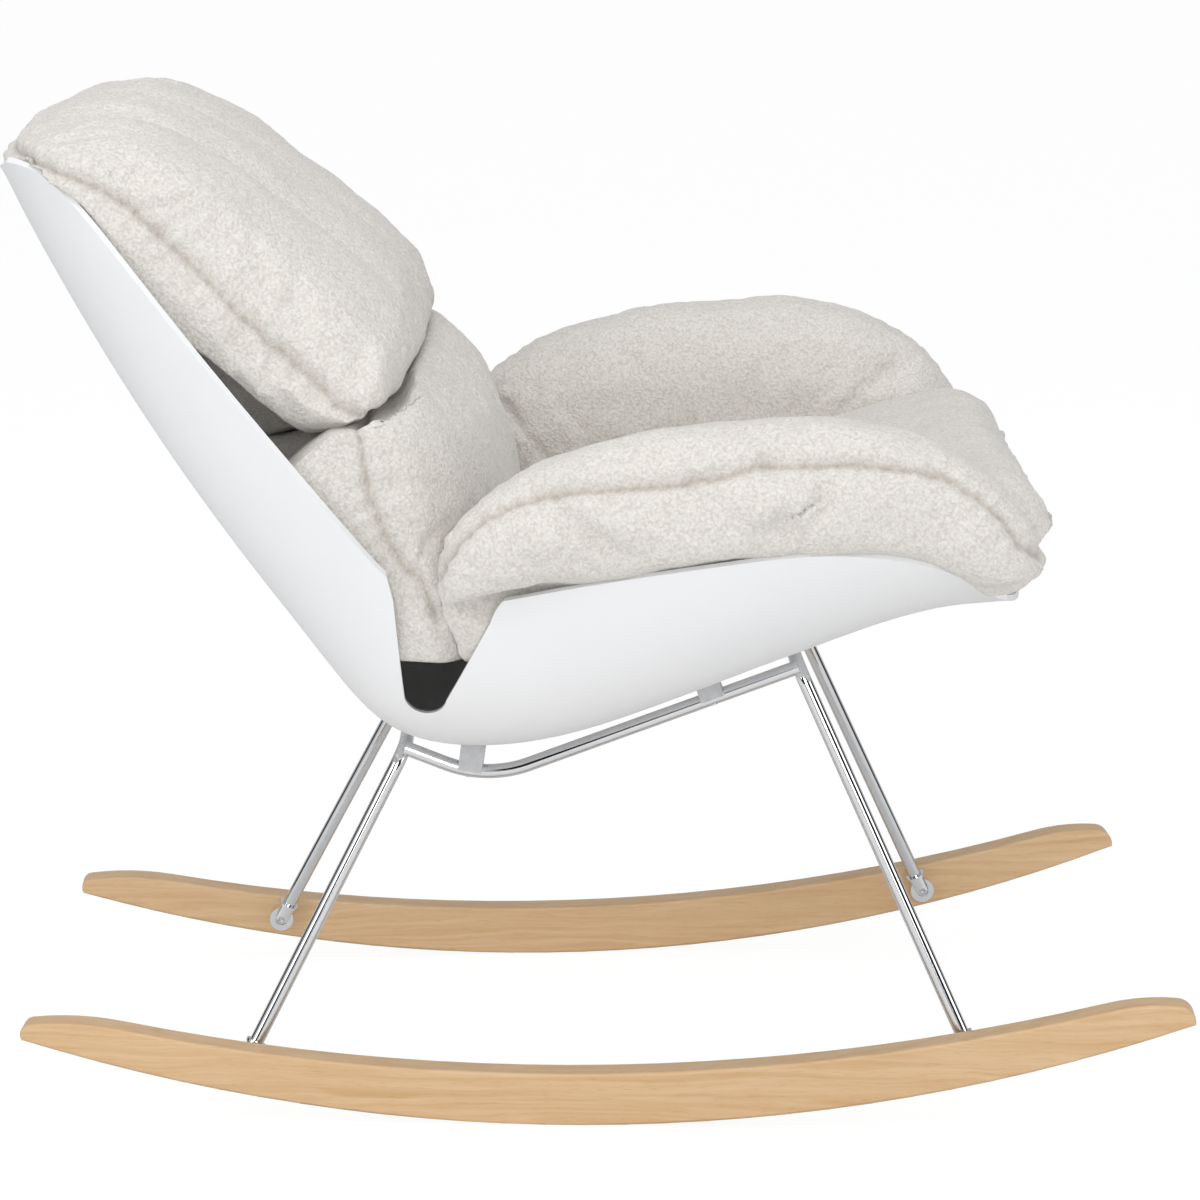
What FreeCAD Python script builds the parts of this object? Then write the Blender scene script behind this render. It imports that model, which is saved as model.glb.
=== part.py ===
import FreeCAD, Part
import Sketcher
import os
from math import atan2, cos, degrees, pi, radians, sin, sqrt, tan

# Moulded plastic rocking chair: a bucket shell with a padded liner, on two rod frames and two
# wooden rockers. Millimetres, +X to the front, +Y to the sitter's left, +Z up. The origin is on
# the floor, on the middle plane, under the line where the rockers touch at rest.

Vec = FreeCAD.Vector
Rot = FreeCAD.Rotation
Place = FreeCAD.Placement
AXIS_X = Vec(1, 0, 0)
AXIS_Y = Vec(0, 1, 0)
AXIS_Z = Vec(0, 0, 1)
SIDES = (("right", -1), ("left", 1))

doc = FreeCAD.newDocument("rocking_chair")
sheet = doc.addObject("Spreadsheet::Sheet", "Sizes")

SIZES = {
    # rockers, measured along each board from the line where it touches the floor
    "rocker_rear_reach": 444.0,
    "rocker_front_reach": 526.0,
    "rocker_sole_radius": 1499.0,
    "rocker_top_radius": 1840.0,
    "rocker_top_shift": 16.0,
    "rocker_waist": 45.0,
    "rocker_thickness": 25.0,
    "rocker_gap": 436.6,
    "rocker_toe_out": 3.06,
    "rocker_edge": 2.5,
    "rear_tip_radius": 9.0,
    "rear_tip_rise": 7.0,
    "rear_crown_radius": 250.0,
    "front_tip_radius": 15.0,
    "front_tip_rise": 6.7,
    "front_crown_radius": 175.0,
    # chromed rod frames
    "rod_diameter": 12.0,
    "frame_bend": 24.0,
    "rear_bar_forward": -125.0,
    "rear_bar_height": 299.0,
    "rear_bar_half": 148.0,
    "front_bar_forward": 199.0,
    "front_bar_height": 378.0,
    "front_bar_half": 169.5,
    "rail_dip_forward": -56.8,
    "rail_dip_height": 272.7,
    "rail_bend": 98.0,
    "rail_drop_rear": 0.5,
    "rail_drop_front": 5.5,
    # cast lugs at the feet of the legs, and what fastens them
    "rear_bolt_along": -258.6,
    "rear_bolt_height": 42.6,
    "front_bolt_along": 343.6,
    "front_bolt_height": 59.2,
    "lug_offset": 8.0,
    "lug_radius": 11.0,
    "lug_depth": 13.5,
    "lug_neck_radius": 8.0,
    "lug_ring_radius": 8.8,
    "lug_ring_width": 2.5,
    "lug_height": 17.0,
    "rod_socket_floor": 10.0,
    "fit_gap": 0.1,
    "bolt_diameter": 6.0,
    "bolt_head_diameter": 10.5,
    "bolt_head_height": 3.3,
    "hex_key": 4.0,
    "hex_depth": 2.0,
    "bolt_bite": 11.0,
    "insert_diameter": 9.8,
    "insert_length": 12.0,
    # spacers, screws and tee nuts between the rails and the shell
    "rear_spacer_forward": -71.0,
    "front_spacer_forward": 131.0,
    "spacer_length": 20.0,
    "spacer_width": 14.0,
    "screw_diameter": 5.0,
    "screw_head_diameter": 9.0,
    "screw_head_height": 2.8,
    "screw_sink": 3.4,
    "nut_barrel_diameter": 7.6,
    "nut_flange_diameter": 14.0,
    "nut_flange": 1.2,
    "nut_recess": 2.2,
    "nut_barrel": 6.5,
    # shell
    "shell_wall": 5.0,
    "notch_rear_forward": -121.0,
    "notch_front_forward": -87.0,
    "notch_floor": 366.0,
    "notch_radius": 14.0,
    "notch_flare_forward": -50.0,
    "notch_flare_height": 441.0,
    "notch_lip_forward": -36.0,
    "notch_clear": 490.0,
    # padded liner
    "pad_gap": 0.7,
    "pad_trim": 18.0,
    "pillow_half": 270.0,
    "lumbar_half": 287.0,
    "seat_half": 238.0,
    "arm_inner": 239.0,
    "arm_crest": 338.0,
    "arm_seam_out": 23.0,
    "arm_seam_drop": 21.0,
    "arm_bulge_out": 11.0,
    "arm_base_rise": 6.0,
    "arm_overhang": 30.0,
    "arm_base_curve": 4.8,
    "arm_underside": 480.0,
}

# Stations of the shell from its top edge to its front lip: the middle line (forward, height),
# the rim (forward, height, half width) and how flat the section stays before it turns up.
STATIONS = (
    ("crown", -454.7, 779.0, -434.0, 793.5, 200.0, 3.2),
    ("shoulder", -441.0, 752.0, -393.0, 783.0, 249.0, 3.4),
    ("blade", -414.0, 702.0, -350.0, 741.0, 277.0, 3.6),
    ("back", -362.0, 611.0, -283.0, 658.0, 294.0, 3.8),
    ("waist", -288.0, 497.0, -214.0, 574.0, 300.0, 4.0),
    ("loin", -212.0, 396.0, -155.0, 503.0, 300.0, 4.4),
    ("heel", -155.0, 327.0, -115.0, 464.0, 300.0, 4.8),
    ("bend", -104.0, 301.5, -78.0, 455.0, 302.0, 5.0),
    ("root", -42.0, 299.5, -35.0, 462.0, 312.0, 5.0),
    ("seat", 32.0, 317.5, 28.0, 478.0, 333.0, 5.0),
    ("thigh", 120.0, 353.5, 130.0, 497.0, 350.0, 5.0),
    ("arm", 210.0, 389.5, 218.0, 505.0, 350.0, 4.8),
    ("knee", 292.0, 418.5, 290.0, 496.0, 347.0, 4.2),
    ("front", 346.0, 424.5, 328.0, 477.0, 327.0, 3.4),
    ("lip", 391.0, 424.5, 359.0, 452.0, 272.0, 2.6),
)
FIELDS = ("forward", "height", "rim_forward", "rim_height", "half_width", "flatness")
for station in STATIONS:
    for field, value in zip(FIELDS, station[1:]):
        SIZES[station[0] + "_" + field] = value

for row, (alias, value) in enumerate(SIZES.items(), start=1):
    sheet.set("A%d" % row, alias)
    sheet.set("B%d" % row, str(value))
    sheet.setAlias("B%d" % row, alias)
doc.recompute()


def size(alias):
    """One driving size, read back from the sheet."""
    return float(sheet.get(alias))


# Small helpers for shapes

def frame_place(origin, along, up):
    """Placement whose local X runs along, and whose local Z is as near to up as it can be."""
    return Place(origin, Rot(along, AXIS_Y, up, "XZY"))


def axis_place(origin, axis):
    """Placement whose local Z points along axis."""
    return Place(origin, Rot(AXIS_Z, axis))


def cylinder(name, radius, height, place):
    """A plain cylinder whose size expressions are bound to the sheet."""
    item = doc.addObject("Part::Cylinder", name)
    item.setExpression("Radius", radius)
    item.setExpression("Height", height)
    item.Placement = place
    return item


def group(name, kind, members):
    """A fuse or a compound of members, under one name."""
    item = doc.addObject(kind, name)
    if kind == "Part::Compound":
        item.Links = members
    else:
        item.Shapes = members
    return item


def cut(name, base, tool):
    """Base less tool."""
    item = doc.addObject("Part::Cut", name)
    item.Base = base
    item.Tool = tool
    return item


def solid_feature(name, shape):
    """A sub-part whose free form is worked out below from the sheet's sizes."""
    item = doc.addObject("Part::Feature", name)
    item.Shape = shape
    item.Placement = Place()
    return item


NODES = []


def node(item, label):
    """Marks a finished sub-part and gives it its name."""
    item.Label = label
    NODES.append(item)
    return item


# Rockers: laminated boards, sawn to two arcs, with blunt rounded tips

def circle_meet(first, first_radius, second, second_radius, side):
    """The point at the given distances from two centres, on one side of the line between them."""
    line = second - first
    reach = line.Length
    line.normalize()
    along = (first_radius ** 2 - second_radius ** 2 + reach ** 2) / (2 * reach)
    across = sqrt(first_radius ** 2 - along ** 2)
    return first + line * along + Vec(-line.y, line.x, 0) * across * side


def arc_between(centre, radius, start, end):
    """An anticlockwise arc between the directions of two points."""
    turn_start = atan2(start.y - centre.y, start.x - centre.x)
    turn_end = atan2(end.y - centre.y, end.x - centre.x)
    return Part.ArcOfCircle(Part.Circle(centre, AXIS_Z, radius), turn_start, turn_end)


def rocker_sketch(body):
    """Outline of a rocker: sole, top, and a crown and a tip at each end, all tangent arcs."""
    sketch = body.newObject("Sketcher::SketchObject", body.Name + "_outline")
    plane = [f for f in body.Origin.OriginFeatures if f.Role == "XY_Plane"][0]
    sketch.AttachmentSupport = [(plane, "")]
    sketch.MapMode = "FlatFace"
    sole = size("rocker_sole_radius")
    top = size("rocker_top_radius")
    sole_centre = Vec(0, sole, 0)
    top_centre = Vec(-size("rocker_top_shift"), size("rocker_waist") + top, 0)
    ends = {}
    for name, reach, side in (("front", size("rocker_front_reach"), 1),
                              ("rear", -size("rocker_rear_reach"), -1)):
        tip = size(name + "_tip_radius")
        crown = size(name + "_crown_radius")
        tip_along = reach - side * tip
        tip_centre = Vec(tip_along, sole - sqrt(sole ** 2 - tip_along ** 2) + size(name + "_tip_rise"), 0)
        crown_centre = circle_meet(tip_centre, crown - tip, top_centre, top + crown, side)
        tip_to_sole = circle_meet(tip_centre, tip, sole_centre, sole, -side)
        outward = (tip_centre - crown_centre).normalize()
        inward = (top_centre - crown_centre).normalize()
        ends[name] = (tip_centre, tip, crown_centre, crown, tip_to_sole,
                      tip_centre + outward * tip, crown_centre + inward * crown)
    f_tip, f_tip_r, f_crown, f_crown_r, f_sole, f_join, f_top = ends["front"]
    r_tip, r_tip_r, r_crown, r_crown_r, r_sole, r_join, r_top = ends["rear"]
    arcs = (
        arc_between(sole_centre, sole, r_sole, f_sole),
        arc_between(f_tip, f_tip_r, f_sole, f_join),
        arc_between(f_crown, f_crown_r, f_join, f_top),
        arc_between(top_centre, top, r_top, f_top),
        arc_between(r_crown, r_crown_r, r_top, r_join),
        arc_between(r_tip, r_tip_r, r_join, r_sole),
    )
    for arc in arcs:
        sketch.addGeometry(arc, False)
    start, end, centre = 1, 2, 3
    join = Sketcher.Constraint
    sketch.addConstraint(join("Coincident", 0, end, 1, start))
    sketch.addConstraint(join("Tangent", 1, end, 2, start))
    sketch.addConstraint(join("Tangent", 2, end, 3, end))
    sketch.addConstraint(join("Tangent", 3, start, 4, start))
    sketch.addConstraint(join("Tangent", 4, end, 5, start))
    sketch.addConstraint(join("Coincident", 5, end, 0, start))
    sketch.addConstraint(join("PointOnObject", 0, centre, -2))
    sketch.addConstraint(join("PointOnObject", -1, 1, 0))
    tip_height = ("Sizes.rocker_sole_radius - sqrt(Sizes.rocker_sole_radius ^ 2 - (Sizes.rocker_{0}_reach"
                  " - Sizes.{0}_tip_radius) ^ 2) + Sizes.{0}_tip_rise")
    bound = (
        ("Radius", (0,), sole, "Sizes.rocker_sole_radius"),
        ("Radius", (1,), f_tip_r, "Sizes.front_tip_radius"),
        ("Radius", (2,), f_crown_r, "Sizes.front_crown_radius"),
        ("Radius", (3,), top, "Sizes.rocker_top_radius"),
        ("Radius", (4,), r_crown_r, "Sizes.rear_crown_radius"),
        ("Radius", (5,), r_tip_r, "Sizes.rear_tip_radius"),
        ("DistanceX", (3, centre, -1, 1), -top_centre.x, "Sizes.rocker_top_shift"),
        ("DistanceY", (-1, 1, 3, centre), top_centre.y, "Sizes.rocker_waist + Sizes.rocker_top_radius"),
        ("DistanceX", (-1, 1, 1, centre), f_tip.x, "Sizes.rocker_front_reach - Sizes.front_tip_radius"),
        ("DistanceY", (-1, 1, 1, centre), f_tip.y, tip_height.format("front")),
        ("DistanceX", (5, centre, -1, 1), -r_tip.x, "Sizes.rocker_rear_reach - Sizes.rear_tip_radius"),
        ("DistanceY", (-1, 1, 5, centre), r_tip.y, tip_height.format("rear")),
    )
    for kind, where, value, expression in bound:
        index = sketch.addConstraint(join(kind, *where, value))
        sketch.setExpression("Constraints[%d]" % index, expression)
    return sketch


def rocker_place(side):
    """Local X runs along the board, local Y up, and local Z points to the near side."""
    turn = Rot(AXIS_Z, side * size("rocker_toe_out"))
    return Place(Vec(0, side * size("rocker_gap") / 2, 0), turn.multiply(Rot(AXIS_X, 90)))


def build_rocker(name, side):
    body = doc.addObject("PartDesign::Body", "rocker_" + name)
    sketch = rocker_sketch(body)
    pad = body.newObject("PartDesign::Pad", body.Name + "_board")
    pad.Profile = sketch
    pad.setExpression("Length", "Sizes.rocker_thickness")
    pad.Reversed = side > 0
    doc.recompute()
    level = pad.Shape.BoundBox
    edges = []
    for number, edge in enumerate(pad.Shape.Edges, start=1):
        box = edge.BoundBox
        flat = box.ZLength < 0.01
        if flat and (abs(box.ZMin - level.ZMin) < 0.01 or abs(box.ZMax - level.ZMax) < 0.01):
            edges.append("Edge%d" % number)
    rounded = body.newObject("PartDesign::Fillet", body.Name + "_edges")
    rounded.Base = (pad, edges)
    rounded.setExpression("Radius", "Sizes.rocker_edge")
    doc.recompute()
    holes = body.newObject("Sketcher::SketchObject", body.Name + "_insert_holes")
    plane = [f for f in body.Origin.OriginFeatures if f.Role == "XY_Plane"][0]
    holes.AttachmentSupport = [(plane, "")]
    holes.MapMode = "FlatFace"
    for end in ("rear", "front"):
        along = size(end + "_bolt_along")
        height = size(end + "_bolt_height")
        radius = size("insert_diameter") / 2 + size("fit_gap")
        ring = holes.addGeometry(Part.Circle(Vec(along, height, 0), AXIS_Z, radius), False)
        index = holes.addConstraint(Sketcher.Constraint("Radius", ring, radius))
        holes.setExpression("Constraints[%d]" % index, "Sizes.insert_diameter / 2 + Sizes.fit_gap")
        if along < 0:
            index = holes.addConstraint(Sketcher.Constraint("DistanceX", ring, 3, -1, 1, -along))
            holes.setExpression("Constraints[%d]" % index, "-Sizes.%s_bolt_along" % end)
        else:
            index = holes.addConstraint(Sketcher.Constraint("DistanceX", -1, 1, ring, 3, along))
            holes.setExpression("Constraints[%d]" % index, "Sizes.%s_bolt_along" % end)
        index = holes.addConstraint(Sketcher.Constraint("DistanceY", -1, 1, ring, 3, height))
        holes.setExpression("Constraints[%d]" % index, "Sizes.%s_bolt_height" % end)
    pocket = body.newObject("PartDesign::Pocket", body.Name + "_inserts")
    pocket.Profile = holes
    pocket.setExpression("Length", "Sizes.insert_length + 1")
    pocket.Reversed = side < 0
    body.Placement = rocker_place(side)
    doc.recompute()
    if pocket.Shape.Volume >= rounded.Shape.Volume:
        raise ValueError("the insert holes of %s cut nothing" % body.Name)
    return node(body, "rocker_" + name)


rockers = {name: build_rocker(name, side) for name, side in SIDES}


# Rod frames

def bolt_points(end, side):
    """Where a lug's bolt meets the inner face of its rocker, and that face's outward normal."""
    place = rocker_place(side)
    local = Vec(size(end + "_bolt_along"), size(end + "_bolt_height"), 0)
    face = place.multVec(local)
    outward = place.Rotation.multVec(AXIS_Z) * -side
    return face, outward


def lug_centre(end, side):
    """Where the bolt crosses the middle line of the leg."""
    face, outward = bolt_points(end, side)
    return face - outward * size("lug_offset")


def bar_corner(end, side):
    """Where the middle lines of a leg and of the cross bar would meet."""
    return Vec(size(end + "_bar_forward"), side * size(end + "_bar_half"), size(end + "_bar_height"))


def leg_direction(end, side):
    """Up the leg."""
    return (bar_corner(end, side) - lug_centre(end, side)).normalize()


def rounded_path(corners, bend):
    """Straight runs joined by tangent arcs of one radius."""
    edges = []
    last = corners[0]
    for before, corner, after in zip(corners, corners[1:], corners[2:]):
        come = (before - corner).normalize()
        leave = (after - corner).normalize()
        half = come.getAngle(leave) / 2
        reach = bend / tan(half)
        middle = (come + leave).normalize()
        start = corner + come * reach
        end = corner + leave * reach
        apex = corner + middle * (bend / sin(half) - bend)
        edges.append(Part.LineSegment(last, start).toShape())
        edges.append(Part.Arc(start, apex, end).toShape())
        last = end
    edges.append(Part.LineSegment(last, corners[-1]).toShape())
    return Part.Wire(edges)


def rod(name, corners, bend):
    """A bent rod: a round section swept along a path of runs and arcs."""
    path = doc.addObject("Part::Feature", name + "_path")
    path.Shape = rounded_path(corners, bend)
    section = doc.addObject("Part::Circle", name + "_section")
    section.setExpression("Radius", "Sizes.rod_diameter / 2")
    section.Placement = axis_place(corners[0], corners[1] - corners[0])
    sweep = doc.addObject("Part::Sweep", name + "_rod")
    sweep.Sections = [section]
    sweep.Spine = (path, ["Edge%d" % (i + 1) for i in range(len(path.Shape.Edges))])
    sweep.Solid = True
    sweep.Frenet = False
    return sweep


leg_frames = {}
for end in ("rear", "front"):
    feet = [lug_centre(end, side) + leg_direction(end, side) * size("rod_socket_floor") for _, side in SIDES]
    corners = [feet[0], bar_corner(end, -1), bar_corner(end, 1), feet[1]]
    leg_frames[end] = node(rod(end + "_leg_frame", corners, size("frame_bend")), end + "_leg_frame")


def rail_corners(side):
    """The rail's runs, in the upright plane through its two welds."""
    rear = bar_corner("rear", side) - leg_direction("rear", side) * size("rail_drop_rear")
    front = bar_corner("front", side) - leg_direction("front", side) * size("rail_drop_front")
    share = (size("rail_dip_forward") - rear.x) / (front.x - rear.x)
    dip = Vec(size("rail_dip_forward"), rear.y + share * (front.y - rear.y), size("rail_dip_height"))
    return rear, dip, front


def rail_point(side, forward):
    """A point on the rail's middle line, its direction there, and the way up square to it."""
    for edge in rounded_path(rail_corners(side), size("rail_bend")).Edges:
        low, high = edge.ParameterRange
        if not min(edge.valueAt(low).x, edge.valueAt(high).x) <= forward <= max(
                edge.valueAt(low).x, edge.valueAt(high).x):
            continue
        rising = edge.valueAt(high).x > edge.valueAt(low).x
        for _ in range(40):
            middle = (low + high) / 2
            if (edge.valueAt(middle).x < forward) == rising:
                low = middle
            else:
                high = middle
        point = edge.valueAt(low)
        along = edge.tangentAt(low).normalize()
        if along.x < 0:
            along = along * -1
        up = (AXIS_Z - along * along.z).normalize()
        return point, along, up
    raise ValueError("the rail does not reach %.1f" % forward)


def spacer_axes(side):
    """Each fastening between a rail and the shell: its name, point, direction and way up."""
    for end in ("rear", "front"):
        point, along, up = rail_point(side, size(end + "_spacer_forward"))
        yield end, point, along, up


rails = {}
for name, side in SIDES:
    blank = rod("side_rail_" + name, rail_corners(side), size("rail_bend"))
    tools = [leg_frames["rear"], leg_frames["front"]]
    for end, point, along, up in spacer_axes(side):
        label = "rail_%s_%s" % (end, name)
        tools.append(cylinder(label + "_hole", "Sizes.screw_diameter / 2 + Sizes.fit_gap",
                              "2 * Sizes.rod_diameter", axis_place(point - up * size("rod_diameter"), up)))
        tools.append(cylinder(label + "_sink", "Sizes.screw_head_diameter / 2 + 2 * Sizes.fit_gap",
                              "Sizes.rod_diameter",
                              axis_place(point - up * (1.5 * size("rod_diameter") - size("screw_sink")), up)))
    rails[name] = node(cut("side_rail_" + name, blank, group("rail_tools_" + name, "Part::Compound", tools)),
                       "side_rail_" + name)
doc.recompute()


# Lugs, their bolts and the threaded inserts in the rockers

def hex_tool(name, place):
    """The socket of a hex key in a screw head."""
    prism = doc.addObject("Part::Prism", name)
    prism.Polygon = 6
    prism.setExpression("Circumradius", "Sizes.hex_key / 2 / cos(30)")
    prism.setExpression("Height", "Sizes.hex_depth * 2")
    prism.Placement = place
    return prism


bolts = []
inserts = []
for name, side in SIDES:
    for end in ("rear", "front"):
        label = "%s_lug_%s" % (end, name)
        centre = lug_centre(end, side)
        face, outward = bolt_points(end, side)
        leg_up = leg_direction(end, side)
        inner = face - outward * size("lug_depth")
        boss = cylinder(label + "_boss", "Sizes.lug_radius", "Sizes.lug_depth", axis_place(inner, outward))
        neck = doc.addObject("Part::Cone", label + "_neck")
        neck.setExpression("Radius1", "Sizes.lug_neck_radius")
        neck.setExpression("Radius2", "Sizes.lug_neck_radius")
        neck.setExpression("Height", "Sizes.lug_height")
        neck.Radius2 = size("lug_neck_radius") * 0.94
        neck.setExpression("Radius2", "Sizes.lug_neck_radius * 0.94")
        neck.Placement = axis_place(centre, leg_up)
        ring = cylinder(label + "_ring", "Sizes.lug_ring_radius", "Sizes.lug_ring_width",
                        axis_place(centre + leg_up * (size("lug_height") - size("lug_ring_width")), leg_up))
        whole = group(label + "_casting", "Part::MultiFuse", [boss, neck, ring])
        socket = cylinder(label + "_socket", "Sizes.rod_diameter / 2 + Sizes.fit_gap", "Sizes.lug_height",
                          axis_place(centre + leg_up * size("rod_socket_floor"), leg_up))
        bore = cylinder(label + "_bore", "Sizes.bolt_diameter / 2 + Sizes.fit_gap", "2 * Sizes.lug_depth",
                        axis_place(inner - outward * size("lug_depth") / 2, outward))
        sink = cylinder(label + "_sink", "Sizes.bolt_head_diameter / 2 + 4 * Sizes.fit_gap",
                        "Sizes.bolt_head_height", axis_place(inner, outward))
        beyond = doc.addObject("Part::Box", label + "_beyond")
        beyond.setExpression("Length", "6 * Sizes.lug_radius")
        beyond.setExpression("Width", "6 * Sizes.lug_radius")
        beyond.setExpression("Height", "Sizes.lug_radius * 2")
        reach = 3 * size("lug_radius")
        beyond.Placement = axis_place(face, outward).multiply(Place(Vec(-reach, -reach, 0), Rot()))
        tools = group(label + "_tools", "Part::Compound", [socket, bore, sink, beyond])
        node(cut(label, whole, tools), label)
        seat = inner + outward * size("bolt_head_height")
        head = cylinder(label + "_bolt_head", "Sizes.bolt_head_diameter / 2", "Sizes.bolt_head_height",
                        axis_place(inner, outward))
        shank = cylinder(label + "_bolt_shank", "Sizes.bolt_diameter / 2",
                         "Sizes.lug_depth - Sizes.bolt_head_height + Sizes.bolt_bite",
                         axis_place(seat, outward))
        key = hex_tool(label + "_bolt_key", axis_place(inner - outward * size("hex_depth"), outward))
        solid = group(label + "_bolt_blank", "Part::MultiFuse", [head, shank])
        bolts.append(cut(label + "_bolt", solid, key))
        sleeve = cylinder(label + "_insert_sleeve", "Sizes.insert_diameter / 2", "Sizes.insert_length",
                          axis_place(face, outward))
        thread = cylinder(label + "_insert_thread", "Sizes.bolt_diameter / 2 + Sizes.fit_gap / 2",
                          "Sizes.insert_length", axis_place(face, outward))
        inserts.append(cut(label + "_insert", sleeve, thread))
node(group("rocker_bolts", "Part::Compound", bolts), "rocker_bolts")
node(group("rocker_inserts", "Part::Compound", inserts), "rocker_inserts")


# Shell: one moulded wall, worked out from its stations

NAMES = [station[0] for station in STATIONS]
PLACES = [float(i) for i in range(len(NAMES))]
LAST = PLACES[-1]


def curve_through(points):
    curve = Part.BSplineCurve()
    curve.interpolate(Points=points, Parameters=PLACES)
    return curve


MIDDLE = curve_through([Vec(size(n + "_forward"), 0, size(n + "_height")) for n in NAMES])
RIM = curve_through([Vec(size(n + "_rim_forward"), size(n + "_half_width"), size(n + "_rim_height"))
                     for n in NAMES])
FLATNESS = [size(n + "_flatness") for n in NAMES]


def outside(place, across):
    """A point of the shell's outer face: place runs down the stations, across from -1 to 1."""
    middle = MIDDLE.value(place)
    rim = RIM.value(place)
    step = min(max(int(place), 0), len(FLATNESS) - 2)
    flatness = FLATNESS[step] + (place - step) * (FLATNESS[step + 1] - FLATNESS[step])
    rise = abs(across) ** flatness
    return Vec(middle.x + (rim.x - middle.x) * rise, rim.y * across, middle.z + (rim.z - middle.z) * rise)


def inward(place, across):
    """The direction square to the shell's outer face, towards the sitter."""
    small = 0.001
    down = outside(place + small, across) - outside(place - small, across)
    over = outside(place, across + small) - outside(place, across - small)
    return down.cross(over).normalize()


def shell_point(place, across, depth):
    """A point at a depth inside the shell's outer face."""
    return outside(place, across) + inward(place, across) * depth


ROWS_PER_STATION = 3
COLUMNS = 24


def skin(depth, past_ends=0.0, past_rim=0.0):
    """A smooth face at one depth, carried past the shell's own edges if asked."""
    rows = []
    count = ROWS_PER_STATION * (len(NAMES) - 1)
    for i in range(count + 1):
        place = -past_ends + (LAST + 2 * past_ends) * i / count
        columns = [2 * j / COLUMNS - 1 for j in range(COLUMNS + 1)]
        rows.append([shell_point(place, (1 + past_rim) * (0.35 * sin(pi / 2 * c) + 0.65 * c), depth)
                     for c in columns])
    surface = Part.BSplineSurface()
    surface.interpolate(rows)
    return surface


def wall_between(low, high):
    """The closed solid between two skins."""
    faces = [low.toShape(), high.toShape()]
    for surface_low, surface_high in (
            (low.uIso(low.bounds()[0]), high.uIso(high.bounds()[0])),
            (low.uIso(low.bounds()[1]), high.uIso(high.bounds()[1])),
            (low.vIso(low.bounds()[2]), high.vIso(high.bounds()[2])),
            (low.vIso(low.bounds()[3]), high.vIso(high.bounds()[3]))):
        faces.append(Part.makeRuledSurface(surface_low.toShape(), surface_high.toShape()))
    shell = Part.makeShell(faces)
    shell.sewShape()
    solid = Part.Solid(shell)
    if solid.Volume < 0:
        solid.reverse()
    return solid


def notch_tool():
    """The V notch in each side of the shell, between the back and the arm, as one long prism."""
    rear = size("notch_rear_forward")
    front = size("notch_front_forward")
    floor = size("notch_floor")
    radius = size("notch_radius")
    top = size("notch_clear")
    flare = Vec(size("notch_flare_forward"), 0, size("notch_flare_height"))
    lip = Vec(size("notch_lip_forward"), 0, size("root_rim_height") + 3)
    low = Vec((rear + front) / 2, 0, floor - radius)
    rear_top = Vec(rear - 6, 0, size("bend_rim_height") + 2)
    rear_end = Vec(rear - 16, 0, size("loin_rim_height"))
    points = [Vec(rear, 0, floor), low, Vec(front, 0, floor)]
    edges = [Part.Arc(*points).toShape(),
             Part.LineSegment(points[2], flare).toShape(),
             Part.Arc(flare, flare + (lip - flare) * 0.5 + Vec(-1.5, 0, 1.5), lip).toShape(),
             Part.LineSegment(lip, Vec(lip.x + 8, 0, top)).toShape(),
             Part.LineSegment(Vec(lip.x + 8, 0, top), Vec(rear_end.x, 0, top)).toShape(),
             Part.LineSegment(Vec(rear_end.x, 0, top), rear_end).toShape(),
             Part.LineSegment(rear_end, rear_top).toShape(),
             Part.LineSegment(rear_top, points[0]).toShape()]
    half = size("bend_half_width") + 60
    face = Part.Face(Part.Wire(edges))
    face.translate(Vec(0, -half, 0))
    return face.extrude(Vec(0, 2 * half, 0))


outer_skin = skin(0.0)
shell_solid = wall_between(outer_skin, skin(size("shell_wall")))
PAST_ENDS = 0.012
PAST_RIM = 0.003
keep_out = wall_between(skin(-size("pad_trim"), PAST_ENDS, PAST_RIM),
                        skin(size("shell_wall") + size("pad_gap"), PAST_ENDS, PAST_RIM))
shell_solid = shell_solid.cut(notch_tool())


def nut_station(side, end, point, up):
    """Where a fastening's axis leaves the inner face of the shell."""
    ray = Part.LineSegment(point, point + up * 200).toShape()
    crossing = ray.common(shell_solid)
    ends = sorted(crossing.Vertexes, key=lambda v: (v.Point - point).Length)
    return ends[0].Point, ends[-1].Point


fastenings = []
for name, side in SIDES:
    for end, point, along, up in spacer_axes(side):
        under, over = nut_station(side, end, point, up)
        fastenings.append((name, side, end, point, along, up, under, over))
for name, side, end, point, along, up, under, over in fastenings:
    through = Part.makeCylinder(size("nut_barrel_diameter") / 2 + size("fit_gap"), 60, under - up * 20, up)
    recess = Part.makeCylinder(size("nut_flange_diameter") / 2 + 2 * size("fit_gap"), 30,
                               over - up * size("nut_recess"), up)
    shell_solid = shell_solid.cut(through).cut(recess)
shell = node(solid_feature("seat_shell", shell_solid), "seat_shell")

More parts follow.
